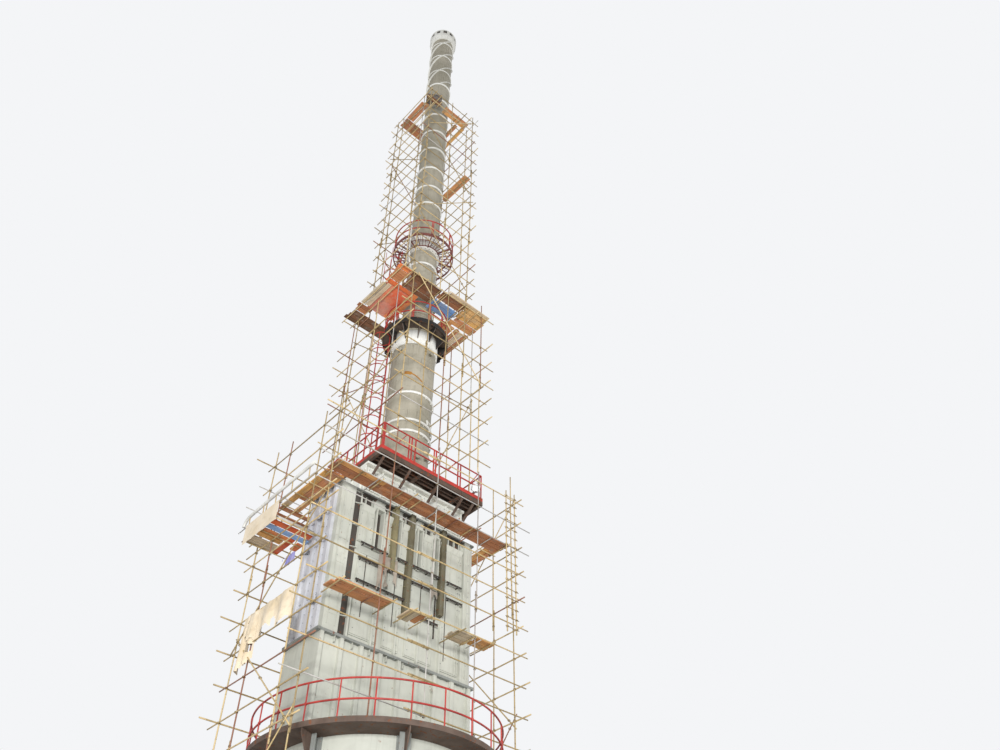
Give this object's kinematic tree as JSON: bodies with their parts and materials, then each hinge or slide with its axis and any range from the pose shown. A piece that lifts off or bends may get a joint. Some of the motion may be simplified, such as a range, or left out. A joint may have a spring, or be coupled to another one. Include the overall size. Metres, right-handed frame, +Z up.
{
  "type": "process fired heater with stack and pole scaffold, 1:2 scale model",
  "caption": "Fired process heater: round firebox, ribbed convection casing, ringed steel stack with platforms, wrapped in a bamboo pole scaffold. 1:2 scale model.",
  "frame": {"origin": "on the stack's vertical axis at ground level", "axes": "+Z up along the stack, X along the long side of the casing, -Y the front that the picture shows, -X the left end"},
  "size_m": [4.46, 3.56, 27.8],
  "materials": {
    "casing_paint": "weathered pale grey heat-resisting paint on ribbed steel plate",
    "stack_paint": "weathered grey aluminium paint on rolled plate",
    "grey_steel": "weathered grey paint",
    "platform_steel": "dark brown primer, worn",
    "red_enamel": "chalked red safety paint",
    "burner_iron": "rough casting",
    "bamboo_poles": "dry bamboo and round timber poles",
    "scaffold_planks": "rough sawn planks",
    "orange_tarp": "woven plastic tarpaulin, faded",
    "cream_sheet": "woven plastic sheet, dusty and torn",
    "drum_steel": "dull grey"
  },
  "bodies": {
    "root": {"columns": "grey_steel", "firebox_floor": "grey_steel", "burners": "burner_iron", "firebox_shell": "casing_paint", "firebox_roof": "casing_paint", "ring_platform": "platform_steel", "ring_handrail": "red_enamel", "ring_ladder": "red_enamel", "lower_casing": "casing_paint", "bolted_flange": "grey_steel", "casing_front": "casing_paint", "casing_back": "casing_paint", "casing_left": "casing_paint", "casing_right": "casing_paint", "corner_posts": "casing_paint", "casing_roof": "grey_steel", "hood": "casing_paint", "top_platform": "platform_steel", "top_handrail": "red_enamel", "lower_stack": "stack_paint", "stack_cone": "stack_paint", "round_platform": "platform_steel", "round_handrail": "red_enamel", "middle_stack": "stack_paint", "stack_joint": "stack_paint", "joint_platform": "platform_steel", "joint_handrail": "red_enamel", "upper_stack": "stack_paint", "top_stack": "stack_paint", "strakes": "stack_paint", "crown": "stack_paint", "box_ladder": "red_enamel", "stack_ladder": "red_enamel", "slim_ladder": "red_enamel", "scaffold_front": "bamboo_poles", "scaffold_back": "bamboo_poles", "scaffold_left": "bamboo_poles", "scaffold_right": "bamboo_poles", "tower_front": "bamboo_poles", "tower_back": "bamboo_poles", "tower_left": "bamboo_poles", "tower_right": "bamboo_poles", "slim_front": "bamboo_poles", "slim_back": "bamboo_poles", "slim_left": "bamboo_poles", "slim_right": "bamboo_poles", "flange_deck": "scaffold_planks", "casing_deck": "scaffold_planks", "mid_deck": "scaffold_planks", "mid_tarp": "orange_tarp", "top_deck": "scaffold_planks", "side_stage": "scaffold_planks", "side_sheet": "cream_sheet", "torn_sheet": "cream_sheet", "pole_ladder": "bamboo_poles", "drum": "drum_steel"}
  },
  "joints": []
}
